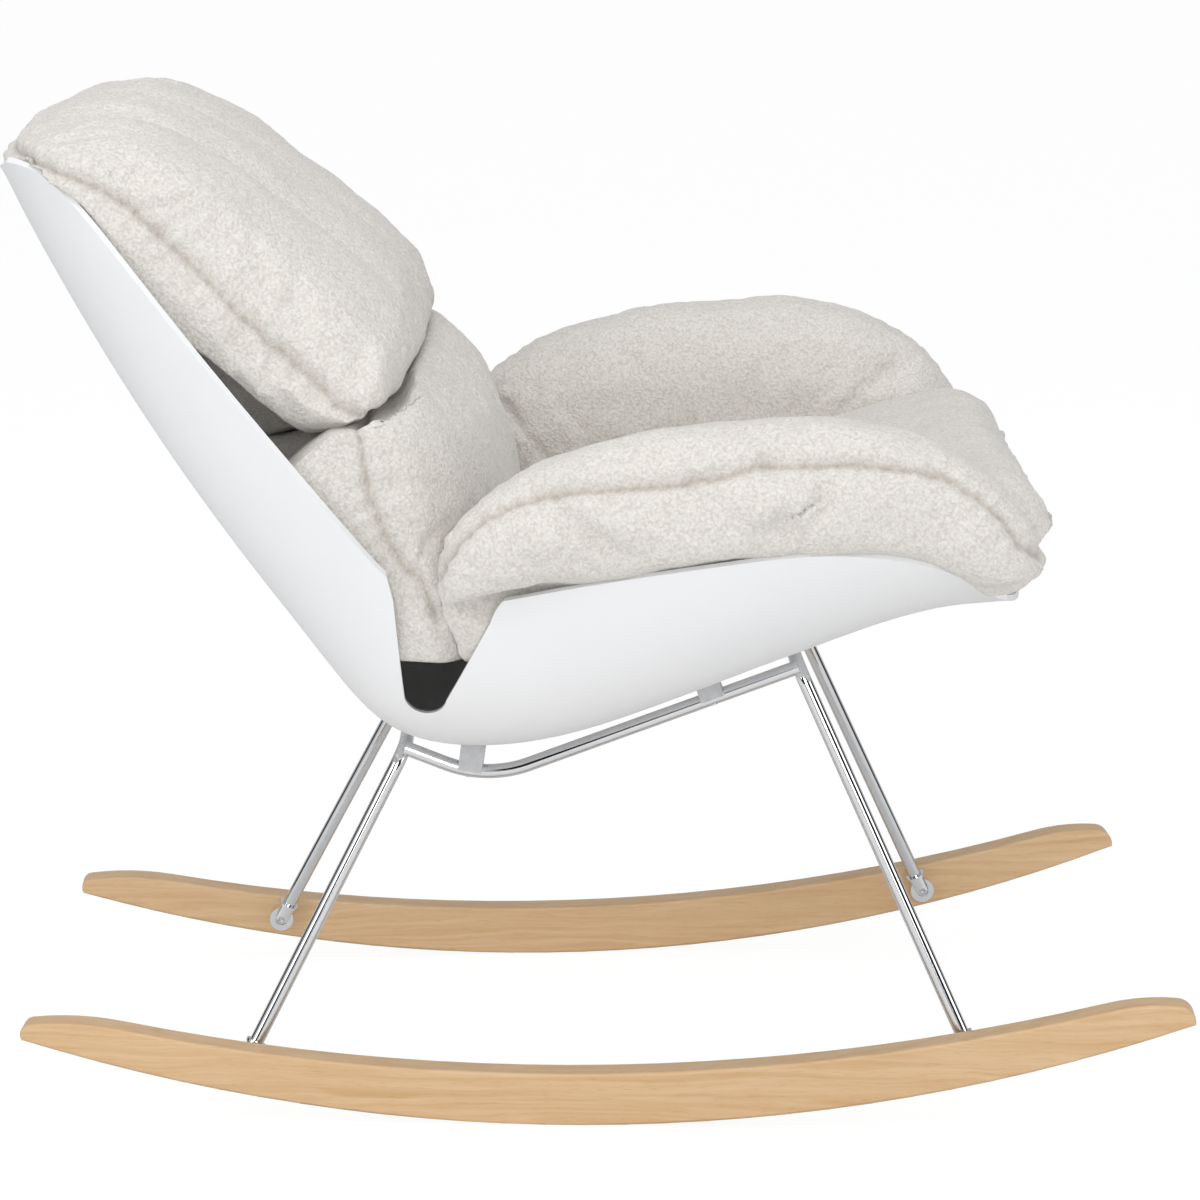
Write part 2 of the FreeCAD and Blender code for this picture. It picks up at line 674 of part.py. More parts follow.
def spacer_shape(label, name, point, along, up, under):
    """A spacer block: saddle below on the rail, shell above, and a hole for the nut's barrel."""
    block = doc.addObject("Part::Box", label + "_block")
    block.setExpression("Length", "Sizes.spacer_length")
    block.setExpression("Width", "Sizes.spacer_width")
    block.setExpression("Height", "Sizes.rod_diameter * 3")
    corner = Vec(-size("spacer_length") / 2, -size("spacer_width") / 2, 0)
    block.Placement = frame_place(point, along, up).multiply(Place(corner, Rot()))
    hole = cylinder(label + "_hole", "Sizes.nut_barrel_diameter / 2 + Sizes.fit_gap",
                    "Sizes.rod_diameter * 3", axis_place(point, up))
    blank = cut(label + "_under_shell", block, shell)
    tools = group(label + "_tools", "Part::Compound", [rails[name], hole])
    trimmed = cut(label + "_on_rail", blank, tools)
    doc.recompute()
    middle = (point + under) * 0.5
    return sorted(trimmed.Shape.Solids, key=lambda solid: (solid.CenterOfMass - middle).Length)[0]


spacers = {}
screws = []
nuts = []
for name, side, end, point, along, up, under, over in fastenings:
    label = "%s_spacer_%s" % (end, name)
    if side < 0:
        spacers[end] = spacer_shape(label, name, point, along, up, under)
        node(solid_feature(label, spacers[end]), label)
    else:
        node(solid_feature(label, spacers[end].mirror(Vec(0, 0, 0), AXIS_Y)), label)
    head_base = point - up * (size("rod_diameter") / 2 - size("screw_sink"))
    head = cylinder(label + "_screw_head", "Sizes.screw_head_diameter / 2", "Sizes.screw_head_height",
                    axis_place(head_base - up * size("screw_head_height"), up))
    nut_top = over - up * (size("nut_recess") - size("nut_flange"))
    length = (nut_top - head_base).Length - 0.5
    shank = doc.addObject("Part::Cylinder", label + "_screw_shank")
    shank.setExpression("Radius", "Sizes.screw_diameter / 2")
    shank.Height = length
    shank.Placement = axis_place(head_base, up)
    key = hex_tool(label + "_screw_key",
                   axis_place(head_base - up * (size("screw_head_height") + size("hex_depth")), up))
    key.setExpression("Circumradius", "Sizes.screw_diameter / 2 * 0.65")
    screws.append(cut(label + "_screw", group(label + "_screw_blank", "Part::MultiFuse", [head, shank]), key))
    flange = cylinder(label + "_nut_flange", "Sizes.nut_flange_diameter / 2", "Sizes.nut_flange",
                      axis_place(over - up * size("nut_recess"), up))
    barrel = cylinder(label + "_nut_barrel", "Sizes.nut_barrel_diameter / 2", "Sizes.nut_barrel",
                      axis_place(over - up * (size("nut_recess") + size("nut_barrel")), up))
    thread = cylinder(label + "_nut_thread", "Sizes.screw_diameter / 2 + Sizes.fit_gap / 2", "60",
                      axis_place(over - up * 40, up))
    nuts.append(cut(label + "_nut", group(label + "_nut_blank", "Part::MultiFuse", [flange, barrel]), thread))
node(group("shell_screws", "Part::Compound", screws), "shell_screws")
node(group("shell_tee_nuts", "Part::Compound", nuts), "shell_tee_nuts")
doc.recompute()

# Padded liner: closed outlines of arcs, lofted from side to side or from end to end, then cut back
# to the shell with a little room left to lift it out

def arc_loop(points):
    """A closed wire of arcs: every second point is the middle of an arc."""
    edges = []
    for i in range(0, len(points), 2):
        edges.append(Part.Arc(points[i], points[i + 1], points[(i + 2) % len(points)]).toShape())
    return Part.Wire(edges)


def padded(outline, rim, places, fullness, make):
    """Loft whose outline shrinks to the rim outline at both ends, as a stuffed pad does."""
    wires = []
    for place in places:
        full = (1 - abs(place) ** fullness) ** 0.5
        wires.append(arc_loop([make(place, r[0] + (o[0] - r[0]) * full, r[1] + (o[1] - r[1]) * full)
                               for o, r in zip(outline, rim)]))
    return Part.makeLoft(wires, True, False)


def largest(shape):
    return sorted(shape.Solids, key=lambda solid: solid.Volume)[-1]


def across_body(half):
    """Maps a place from -1 to 1 and an outline point onto a section across the chair."""
    return lambda place, forward, height: Vec(forward, place * half, height)


SIDE_PLACES = (-1.0, -0.955, -0.85, -0.62, -0.32, 0.0, 0.32, 0.62, 0.85, 0.955, 1.0)

# Upper pillow: its outline on the middle plane, and the thin band its side seam makes at the ends
PILLOW_MIDDLE = (
    (-458.0, 792.0), (-430.0, 822.0), (-386.0, 838.0), (-308.0, 815.0), (-213.0, 755.0), (-153.0, 710.0),
    (-115.0, 668.0), (-105.0, 644.0), (-124.0, 612.0), (-205.0, 562.0), (-322.0, 550.0), (-386.0, 654.0))
PILLOW_RIM = (
    (-368.0, 768.0), (-372.0, 782.0), (-360.0, 792.0), (-338.0, 780.0), (-304.0, 752.0), (-223.0, 668.0),
    (-165.0, 623.0), (-148.0, 613.0), (-150.0, 599.0), (-215.0, 630.0), (-290.0, 698.0), (-334.0, 741.0))

# Lumbar pad: fills the bend of the shell below the pillow
LUMBAR_MIDDLE = (
    (-262.0, 556.0), (-195.0, 612.0), (-128.0, 640.0), (-84.0, 606.0), (-57.0, 560.0), (-41.0, 508.0),
    (-34.0, 440.0), (-35.0, 370.0), (-50.0, 302.5), (-104.0, 304.5), (-153.0, 331.0), (-210.0, 399.0),
    (-262.0, 466.0), (-268.0, 510.0))
LUMBAR_RIM = (
    (-206.0, 582.0), (-188.0, 594.0), (-160.0, 597.0), (-144.0, 570.0), (-131.0, 534.0), (-120.0, 502.0),
    (-108.0, 487.0), (-106.0, 477.0), (-118.0, 467.0), (-134.0, 476.0), (-158.0, 500.0), (-176.0, 524.0),
    (-198.0, 560.0), (-204.0, 571.0))

# Seat pad: top, front roll over the shell's lip, underside and back
SEAT_MIDDLE = (
    (-30.0, 440.0), (60.0, 452.0), (150.0, 472.0), (260.0, 512.0), (345.0, 535.0), (384.0, 535.0),
    (410.0, 516.0), (419.0, 492.0), (408.0, 462.0), (399.0, 446.0), (387.0, 430.0), (346.0, 427.0),
    (292.0, 421.0), (180.0, 379.0), (60.0, 331.0), (10.0, 313.0), (-46.0, 302.5), (-35.0, 370.0))
SEAT_RIM = (
    (-28.0, 436.0), (60.0, 446.0), (150.0, 466.0), (255.0, 504.0), (336.0, 523.0), (368.0, 524.0),
    (388.0, 511.0), (394.0, 496.0), (382.0, 479.0), (370.0, 469.0), (350.0, 462.0), (320.0, 452.0),
    (292.0, 440.0), (180.0, 398.0), (60.0, 359.0), (10.0, 348.0), (-40.0, 344.0), (-33.0, 390.0))

pillow_raw = padded(PILLOW_MIDDLE, PILLOW_RIM, SIDE_PLACES, 2.6, across_body(size("pillow_half")))
lumbar_raw = padded(LUMBAR_MIDDLE, LUMBAR_RIM, SIDE_PLACES, 2.8, across_body(size("lumbar_half")))
seat_raw = padded(SEAT_MIDDLE, SEAT_RIM, SIDE_PLACES, 8.0, across_body(size("seat_half")))

# Arm pads: distance forward, height of the crest, least height of the base, and how full
ARM_STATIONS = (
    (-92.0, 498.0, 0.0, 0.20), (-84.0, 517.0, 0.0, 0.55), (-62.0, 540.0, 0.0, 0.85),
    (-25.0, 562.0, 0.0, 0.98), (40.0, 585.0, 0.0, 1.0), (110.0, 598.0, 0.0, 1.0),
    (180.0, 603.0, 0.0, 1.0), (240.0, 603.0, 0.0, 1.0), (290.0, 590.0, 0.0, 1.0),
    (330.0, 567.0, 448.0, 1.0), (356.0, 546.0, 459.0, 0.93), (376.0, 526.0, 467.0, 0.66),
    (386.0, 514.0, 474.0, 0.30))


def station_at(curve, forward):
    """The point of a shell curve at a distance forward, or its last point beyond that."""
    low, high = PLACES[2], LAST
    if curve.value(high).x <= forward:
        return curve.value(high)
    for _ in range(40):
        middle = (low + high) / 2
        if curve.value(middle).x < forward:
            low = middle
        else:
            high = middle
    return curve.value(low)


def arm_section(side, forward, crest, base, full):
    """Outline across an arm pad: inner face, crest, outer seam, bulge over the rim, and bowl side."""
    rim = station_at(RIM, forward)
    floor = max(station_at(MIDDLE, forward).z + size("shell_wall") / 2, base)
    wall_top = max(rim.z, floor + size("arm_base_rise"))
    inner = size("arm_inner")
    top = size("arm_crest")
    seam = top + size("arm_seam_out")
    bulge = seam + size("arm_bulge_out")
    edge = max(rim.y, bulge - size("arm_overhang")) if base else rim.y
    outer = edge - 14

    def bowl(y):
        """Height of the shell's wall at a distance out from the middle."""
        return floor + (wall_top - floor) * (y / edge) ** size("arm_base_curve")

    seam_height = crest - size("arm_seam_drop")
    under = max(rim.z + 4, min(size("arm_underside"), crest - 44))
    outline = (
        (inner, bowl(inner)), (inner - 1, (floor + crest) / 2), (inner + 0.22 * (top - inner), crest - 26),
        (inner + 0.55 * (top - inner), crest - 7), (top, crest), (top + 15, crest - 6),
        (seam, seam_height), (bulge, (seam_height + under) / 2 + 2), (edge + 6, under),
        (edge - 6, under - 3), (outer, bowl(outer)), ((inner + outer) / 2, bowl((inner + outer) / 2)))
    middle = (inner + seam) / 2
    level = (crest + under) / 2
    return arc_loop([Vec(forward, side * (middle + (y - middle) * full), level + (z - level) * full)
                     for y, z in outline])


def arm_pad(side):
    return Part.makeLoft([arm_section(side, *station) for station in ARM_STATIONS], True, False)


pillow = largest(pillow_raw.cut(keep_out))
node(solid_feature("upper_back_cushion", pillow), "upper_back_cushion")
lumbar = largest(lumbar_raw.cut(keep_out).cut(pillow_raw))
node(solid_feature("lumbar_cushion", lumbar), "lumbar_cushion")
seat = largest(seat_raw.cut(keep_out).cut(lumbar_raw))
node(solid_feature("seat_cushion", seat), "seat_cushion")
for name, side in SIDES:
    arm = largest(arm_pad(side).cut(keep_out).cut(lumbar_raw).cut(seat_raw))
    node(solid_feature("arm_cushion_" + name, arm), "arm_cushion_" + name)
doc.recompute()

# Check every object, then write one file for each sub-part

for item in doc.Objects:
    if "Invalid" in item.State or "Error" in item.State:
        raise ValueError("%s is %s" % (item.Name, item.State))
for item in NODES:
    if item.Shape.isNull() or not item.Shape.isValid():
        raise ValueError("%s has no valid shape" % item.Label)

os.makedirs("parts", exist_ok=True)
for item in NODES:
    item.Shape.exportStep("parts/%s.step" % item.Label)
    box = item.Shape.BoundBox
    print("%-22s solids %d  volume %.0f  x %.1f %.1f  y %.1f %.1f  z %.1f %.1f" % (
        item.Label, len(item.Shape.Solids), item.Shape.Volume, box.XMin, box.XMax,
        box.YMin, box.YMax, box.ZMin, box.ZMax))
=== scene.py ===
import math

import bmesh
import bpy
import numpy as np
from mathutils import Matrix, Vector
from mathutils.bvhtree import BVHTree


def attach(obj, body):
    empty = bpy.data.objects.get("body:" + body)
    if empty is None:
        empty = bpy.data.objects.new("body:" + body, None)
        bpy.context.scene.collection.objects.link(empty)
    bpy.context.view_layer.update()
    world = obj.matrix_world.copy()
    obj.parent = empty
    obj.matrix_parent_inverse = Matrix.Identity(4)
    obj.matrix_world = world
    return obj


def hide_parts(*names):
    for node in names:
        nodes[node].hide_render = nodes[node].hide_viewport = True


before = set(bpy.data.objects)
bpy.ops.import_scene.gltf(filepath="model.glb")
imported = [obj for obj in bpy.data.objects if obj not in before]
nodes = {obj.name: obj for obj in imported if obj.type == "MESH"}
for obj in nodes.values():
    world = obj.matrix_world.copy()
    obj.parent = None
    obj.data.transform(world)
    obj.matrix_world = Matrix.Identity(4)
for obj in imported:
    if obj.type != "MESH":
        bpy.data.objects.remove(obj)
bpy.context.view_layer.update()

# Seat shell: one injection-moulded bucket of white polypropylene, five millimetres thick, with a
# satin face, a faint moulded texture and softly broken edges.

def new_material(name):
    """A new node material, its node tree and its shader."""
    material = bpy.data.materials.new(name)
    material.use_nodes = True
    tree = material.node_tree
    shader = tree.nodes["Principled BSDF"]
    return material, tree, shader


def add_node(tree, kind, **sockets):
    """Adds a node and sets its plain inputs."""
    node = tree.nodes.new(kind)
    for name, value in sockets.items():
        node.inputs[name.replace("_", " ")].default_value = value
    return node


def object_coordinates(tree, scale=(1, 1, 1), turn=(0, 0, 0), shift=(0, 0, 0)):
    """Object coordinates in metres, turned and stretched for a pattern."""
    place = tree.nodes.new("ShaderNodeTexCoord")
    mapping = tree.nodes.new("ShaderNodeMapping")
    mapping.inputs["Scale"].default_value = scale
    mapping.inputs["Rotation"].default_value = turn
    mapping.inputs["Location"].default_value = shift
    tree.links.new(place.outputs["Object"], mapping.inputs["Vector"])
    return mapping.outputs["Vector"]


def noise(tree, vector, scale, detail=3.0, roughness=0.5):
    """A noise texture on a vector; its value comes out between 0 and 1."""
    node = add_node(tree, "ShaderNodeTexNoise", Scale=scale, Detail=detail, Roughness=roughness)
    tree.links.new(vector, node.inputs["Vector"])
    return node.outputs["Fac"]


def colour_ramp(tree, value, stops):
    """Colours a value; stops are (place, red, green, blue)."""
    node = tree.nodes.new("ShaderNodeValToRGB")
    ramp = node.color_ramp
    while len(ramp.elements) < len(stops):
        ramp.elements.new(0.5)
    for element, stop in zip(ramp.elements, stops):
        element.position = stop[0]
        element.color = (*stop[1:], 1)
    tree.links.new(value, node.inputs["Fac"])
    return node.outputs["Color"]


def math_node(tree, operation, first, second):
    """One step of arithmetic; either side is a socket or a number."""
    node = tree.nodes.new("ShaderNodeMath")
    node.operation = operation
    for index, item in enumerate((first, second)):
        if isinstance(item, (int, float)):
            node.inputs[index].default_value = item
        else:
            tree.links.new(item, node.inputs[index])
    return node.outputs["Value"]


def bump(tree, shader, height, strength, distance):
    """Raises a height on the shader's surface, in metres."""
    node = add_node(tree, "ShaderNodeBump", Strength=strength, Distance=distance)
    tree.links.new(height, node.inputs["Height"])
    tree.links.new(node.outputs["Normal"], shader.inputs["Normal"])
    return node


def finish_node(name, material):
    """Gives a frame node its finish in every slot it has."""
    mesh = nodes[name].data
    if not mesh.materials:
        mesh.materials.append(material)
    for index in range(len(mesh.materials)):
        mesh.materials[index] = material


shell_finish, tree, shader = new_material("white_moulded_shell")
place = object_coordinates(tree)
broad = noise(tree, place, 5.0, 2.0)
tint = colour_ramp(tree, broad, ((0.3, 0.800, 0.808, 0.818), (0.7, 0.830, 0.835, 0.842)))
tree.links.new(tint, shader.inputs["Base Color"])
fine = noise(tree, place, 900.0, 2.0)
rough = math_node(tree, "MULTIPLY_ADD", fine, 0.10)
rough.node.inputs[2].default_value = 0.38
tree.links.new(rough, shader.inputs["Roughness"])
bump(tree, shader, fine, 0.12, 0.0004)
shader.inputs["IOR"].default_value = 1.49
finish_node("seat_shell", shell_finish)

# Rockers: two boards of steamed beech, sawn to a long arc and sanded round at the edges, under a
# thin matt lacquer. The grain runs along the board and shows short darker flecks.

TOE_OUT = math.radians(3.06)


def beech(name, turn):
    """Beech whose grain follows a board turned by an angle about the upright."""
    material, tree, shader = new_material(name)
    straight = object_coordinates(tree, (1, 1, 1), (0, 0, turn))
    warp = noise(tree, object_coordinates(tree, (1.6, 9, 9), (0, 0, turn)), 2.2, 3.0)
    bend = tree.nodes.new("ShaderNodeVectorMath")
    bend.operation = "MULTIPLY_ADD"
    lift = tree.nodes.new("ShaderNodeCombineXYZ")
    tree.links.new(warp, lift.inputs["Z"])
    tree.links.new(warp, lift.inputs["Y"])
    tree.links.new(lift.outputs["Vector"], bend.inputs[0])
    bend.inputs[1].default_value = (0, 0.03, 0.045)
    tree.links.new(straight, bend.inputs[2])
    stretch = tree.nodes.new("ShaderNodeMapping")
    stretch.inputs["Scale"].default_value = (0.9, 26, 34)
    tree.links.new(bend.outputs["Vector"], stretch.inputs["Vector"])
    rings = noise(tree, stretch.outputs["Vector"], 5.5, 4.0, 0.62)
    tone = colour_ramp(tree, rings, (
        (0.28, 0.575, 0.350, 0.165), (0.47, 0.630, 0.410, 0.215), (0.56, 0.655, 0.440, 0.240),
        (0.72, 0.690, 0.485, 0.280)))
    flecks = noise(tree, object_coordinates(tree, (75, 700, 1300), (0, 0, turn)), 1.0, 1.5)
    marks = colour_ramp(tree, flecks, ((0.60, 1, 1, 1), (0.72, 0.80, 0.73, 0.66)))
    blend = tree.nodes.new("ShaderNodeMix")
    blend.data_type = "RGBA"
    blend.blend_type = "MULTIPLY"
    blend.inputs["Factor"].default_value = 0.55
    tree.links.new(tone, blend.inputs["A"])
    tree.links.new(marks, blend.inputs["B"])
    tree.links.new(blend.outputs["Result"], shader.inputs["Base Color"])
    rough = math_node(tree, "MULTIPLY_ADD", rings, 0.16)
    rough.node.inputs[2].default_value = 0.36
    tree.links.new(rough, shader.inputs["Roughness"])
    shader.inputs["Coat Weight"].default_value = 0.3
    shader.inputs["Coat Roughness"].default_value = 0.35
    bump(tree, shader, flecks, 0.25, 0.0003)
    return material


finish_node("rocker_right", beech("beech_right", TOE_OUT))
finish_node("rocker_left", beech("beech_left", -TOE_OUT))

# Leg frames and side rails: twelve millimetre steel rod, bent cold, welded and chromed bright.

chrome, tree, shader = new_material("bright_chrome_rod")
haze = noise(tree, object_coordinates(tree), 60.0, 3.0)
rough = math_node(tree, "MULTIPLY_ADD", haze, 0.07)
rough.node.inputs[2].default_value = 0.035
tree.links.new(rough, shader.inputs["Roughness"])
tone = colour_ramp(tree, noise(tree, object_coordinates(tree), 9.0, 2.0),
                   ((0.3, 0.70, 0.71, 0.725), (0.7, 0.78, 0.785, 0.79)))
tree.links.new(tone, shader.inputs["Base Color"])
shader.inputs["Metallic"].default_value = 1.0
for name in ("rear_leg_frame", "front_leg_frame", "side_rail_right", "side_rail_left"):
    finish_node(name, chrome)

# Lugs: small castings at the feet of the legs, chromed over a slightly grainy skin.

cast_chrome, tree, shader = new_material("chromed_lug_casting")
grain = noise(tree, object_coordinates(tree), 700.0, 3.0)
rough = math_node(tree, "MULTIPLY_ADD", grain, 0.12)
rough.node.inputs[2].default_value = 0.09
tree.links.new(rough, shader.inputs["Roughness"])
shader.inputs["Base Color"].default_value = (0.82, 0.83, 0.84, 1)
shader.inputs["Metallic"].default_value = 1.0
bump(tree, shader, grain, 0.18, 0.0003)
for name in ("rear_lug_right", "rear_lug_left", "front_lug_right", "front_lug_left"):
    finish_node(name, cast_chrome)

# Screws, tee nuts and threaded inserts: zinc-plated steel and turned brass.

zinc, tree, shader = new_material("zinc_plated_steel")
spot = noise(tree, object_coordinates(tree), 400.0, 4.0)
tone = colour_ramp(tree, spot, ((0.3, 0.52, 0.53, 0.55), (0.7, 0.70, 0.705, 0.71)))
tree.links.new(tone, shader.inputs["Base Color"])
rough = math_node(tree, "MULTIPLY_ADD", spot, 0.2)
rough.node.inputs[2].default_value = 0.2
tree.links.new(rough, shader.inputs["Roughness"])
shader.inputs["Metallic"].default_value = 1.0
for name in ("rocker_bolts", "shell_screws", "shell_tee_nuts"):
    finish_node(name, zinc)

brass, tree, shader = new_material("turned_brass_insert")
turned = noise(tree, object_coordinates(tree, (1, 400, 1)), 3.0, 2.0)
tone = colour_ramp(tree, turned, ((0.3, 0.60, 0.44, 0.19), (0.7, 0.74, 0.57, 0.28)))
tree.links.new(tone, shader.inputs["Base Color"])
shader.inputs["Metallic"].default_value = 1.0
shader.inputs["Roughness"].default_value = 0.3
finish_node("rocker_inserts", brass)

# Spacers: milky grey plastic saddles between the rails and the shell, slightly see-through.

milky, tree, shader = new_material("milky_spacer_plastic")
cloud = noise(tree, object_coordinates(tree), 120.0, 2.0)
tone = colour_ramp(tree, cloud, ((0.3, 0.43, 0.44, 0.45), (0.7, 0.52, 0.53, 0.54)))
tree.links.new(tone, shader.inputs["Base Color"])
shader.inputs["Roughness"].default_value = 0.42
shader.inputs["Subsurface Weight"].default_value = 0.3
shader.inputs["Subsurface Radius"].default_value = (0.004, 0.004, 0.004)
bump(tree, shader, cloud, 0.1, 0.0004)
for name in ("rear_spacer_right", "rear_spacer_left", "front_spacer_right", "front_spacer_left"):
    finish_node(name, milky)

# Upper back pillow: a bag of looped off-white cloth over loose filling, sewn from a front and a
# back panel with a seam round its edge, and quilted into four lengthwise channels. Its underside
# stands clear of the shell's wall at both sides.

boucle, tree, shader = new_material("boucle_cloth")
place = object_coordinates(tree)
wander = add_node(tree, "ShaderNodeTexNoise", Scale=210.0, Detail=2.0)
tree.links.new(place, wander.inputs["Vector"])
shifted = tree.nodes.new("ShaderNodeVectorMath")
shifted.operation = "MULTIPLY_ADD"
tree.links.new(wander.outputs["Color"], shifted.inputs[0])
shifted.inputs[1].default_value = (0.004, 0.004, 0.004)
tree.links.new(place, shifted.inputs[2])
loops = add_node(tree, "ShaderNodeTexVoronoi", Scale=430.0)
loops.feature = "SMOOTH_F1"
tree.links.new(shifted.outputs["Vector"], loops.inputs["Vector"])
yarn = noise(tree, place, 1300.0, 2.0)
knots = math_node(tree, "SUBTRACT", 1.0, loops.outputs["Distance"])
pile = math_node(tree, "MULTIPLY_ADD", yarn, 0.25)
tree.links.new(knots, pile.node.inputs[2])
tone = colour_ramp(tree, pile, (
    (0.45, 0.595, 0.560, 0.515), (0.78, 0.700, 0.672, 0.632), (1.0, 0.765, 0.742, 0.708)))
# the dark line along each seam is painted shade in its groove: the seam_shade attribute mixes the
# cloth towards dark brown
seam_shade_node = tree.nodes.new("ShaderNodeAttribute")
seam_shade_node.attribute_name = "seam_shade"
seam_shade_mix = tree.nodes.new("ShaderNodeMix")
seam_shade_mix.data_type = "RGBA"
tree.links.new(seam_shade_node.outputs["Fac"], seam_shade_mix.inputs["Factor"])
tree.links.new(tone, seam_shade_mix.inputs["A"])
seam_shade_mix.inputs["B"].default_value = (0.40, 0.345, 0.285, 1)
tree.links.new(seam_shade_mix.outputs["Result"], shader.inputs["Base Color"])
shader.inputs["Roughness"].default_value = 0.92
shader.inputs["Sheen Weight"].default_value = 0.25
shader.inputs["Sheen Roughness"].default_value = 0.5
shader.inputs["Specular IOR Level"].default_value = 0.2
bump(tree, shader, pile, 0.7, 0.0016)

SKIN_FACE = 0.0055
RUBS = 6
SETTLE_FRAMES = 20
AIR_PRESSURE = 4.0
CLOTH_SLACK = 0.03
MOST_SWELL = 0.007
PADS = ("upper_back_cushion", "lumbar_cushion", "seat_cushion", "arm_cushion_right",
        "arm_cushion_left")
# what holds a pad's cloth: wholly within the first distance of it, not at all past the second
HOLDERS = [("seat_shell", 0.009, 0.026)] + [(name, 0.003, 0.016) for name in PADS]
TREES = {}
for name, _, _ in HOLDERS:
    mesh = nodes[name].data
    TREES[name] = BVHTree.FromPolygons([v.co for v in mesh.vertices],
                                       [p.vertices for p in mesh.polygons])


def merged_copy(name, source):
    """A copy of a frame node's mesh with its loose triangles joined."""
    mesh = nodes[source].data.copy()
    mesh.materials.clear()
    piece = bpy.data.objects.new(name, mesh)
    bpy.context.scene.collection.objects.link(piece)
    work = bmesh.new()
    work.from_mesh(mesh)
    bmesh.ops.remove_doubles(work, verts=work.verts, dist=0.00005)
    work.to_mesh(mesh)
    work.free()
    return piece


def apply_modifier(piece, modifier):
    bpy.ops.object.select_all(action="DESELECT")
    piece.select_set(True)
    bpy.context.view_layer.objects.active = piece
    bpy.ops.object.modifier_apply(modifier=modifier.name)


def coordinates(piece):
    flat = np.empty(len(piece.data.vertices) * 3)
    piece.data.vertices.foreach_get("co", flat)
    return flat.reshape(-1, 3)


def set_coordinates(piece, points):
    piece.data.vertices.foreach_set("co", np.ascontiguousarray(points).ravel())
    piece.data.update()


def even_skin(piece):
    """Remeshes a pad to even small faces and rubs its hard creases down a little."""
    remesh = piece.modifiers.new("even", "REMESH")
    remesh.mode = "VOXEL"
    remesh.voxel_size = SKIN_FACE
    apply_modifier(piece, remesh)
    rub = piece.modifiers.new("rub", "SMOOTH")
    rub.factor = 0.5
    rub.iterations = RUBS
    apply_modifier(piece, rub)


def stuff(piece, source):
    """Swells a pad as cloth under pressure, held where it lies on the shell or on another pad."""
    before = coordinates(piece)
    freedom = np.full(len(before), 1.0)
    for other, inner, outer in HOLDERS:
        if other == source:
            continue
        for index, point in enumerate(before):
            hit = TREES[other].find_nearest(Vector(point), outer)
            if hit[3] is not None:
                share = max(0.0, (hit[3] - inner) / (outer - inner))
                freedom[index] = min(freedom[index], share)
    weights = 1 - freedom
    group = piece.vertex_groups.new(name="held")
    for index in np.nonzero(weights > 0.02)[0]:
        group.add([int(index)], float(weights[index]), "REPLACE")
    cloth = piece.modifiers.new("stuffing", "CLOTH")
    settings = cloth.settings
    settings.quality = 3
    settings.mass = 0.3
    settings.tension_stiffness = 12
    settings.compression_stiffness = 12
    settings.shear_stiffness = 5
    settings.bending_stiffness = 0.4
    settings.use_pressure = True
    settings.uniform_pressure_force = AIR_PRESSURE
    settings.shrink_min = -CLOTH_SLACK
    settings.effector_weights.gravity = 0
    settings.vertex_group_mass = "held"
    cloth.collision_settings.use_collision = False
    cloth.point_cache.frame_start = 1
    cloth.point_cache.frame_end = SETTLE_FRAMES
    for number in range(1, SETTLE_FRAMES + 1):
        bpy.context.scene.frame_set(number)
    apply_modifier(piece, cloth)
    bpy.context.scene.frame_set(1)
    step = coordinates(piece) - before
    length = np.linalg.norm(step, axis=1, keepdims=True)
    step *= np.minimum(1.0, MOST_SWELL / np.maximum(length, 1e-9))
    set_coordinates(piece, before + step * freedom[:, None])


def smooth_step(low, high, value):
    """0 at low, 1 at high, with a soft start and end."""
    share = np.clip((value - low) / (high - low), 0, 1)
    return share * share * (3 - 2 * share)


def hump(value, width):
    """1 at nought, falling away on both sides within the width."""
    return np.exp(-(value / width) ** 2)


def outward(piece):
    """The direction that points out of the cloth at each point."""
    flat = np.empty(len(piece.data.vertices) * 3)
    piece.data.vertices.foreach_get("normal", flat)
    return flat.reshape(-1, 3)


def from_line(u, v, line):
    """Distance of flat points from a bent line, counted positive on its left, and how far along."""
    best = np.full(len(u), 1e9)
    signed = np.zeros(len(u))
    along = np.zeros(len(u))
    done = 0.0
    for (au, av), (bu, bv) in zip(line[:-1], line[1:]):
        span = math.hypot(bu - au, bv - av)
        du, dv = (bu - au) / span, (bv - av) / span
        place = np.clip((u - au) * du + (v - av) * dv, 0, span)
        gap = np.hypot(u - au - du * place, v - av - dv * place)
        side = np.where(du * (v - av) - dv * (u - au) >= 0, 1.0, -1.0)
        nearer = gap < best
        best[nearer] = gap[nearer]
        signed[nearer] = (gap * side)[nearer]
        along[nearer] = (place + done)[nearer]
        done += span
    return signed, along


def ripple(points, wave, seed):
    """Uneven waves about the given length, between -1 and 1, the same each time."""
    draw = np.random.default_rng(seed)
    total = np.zeros(len(points))
    for _ in range(7):
        way = draw.normal(size=3)
        way *= 2 * math.pi / (wave * draw.uniform(0.7, 1.5) * np.linalg.norm(way))
        total += np.sin(points @ way + draw.uniform(0, 2 * math.pi))
    return total / 4


GROOVE_DEPTH = 0.0052
GROOVE_WIDTH = 0.0045
DIP_DEPTH = 0.0045
DIP_WIDTH = 0.026
WELT_HEIGHT = 0.0018
PUCKER_PITCH = 0.017
PUCKER_HEIGHT = 0.0009
# spacing of the pulses in the painted seam shade, and the width of that painted shade
SHADE_PULSE_PITCH = 0.013
SEAM_SHADE_WIDTH = 0.0022


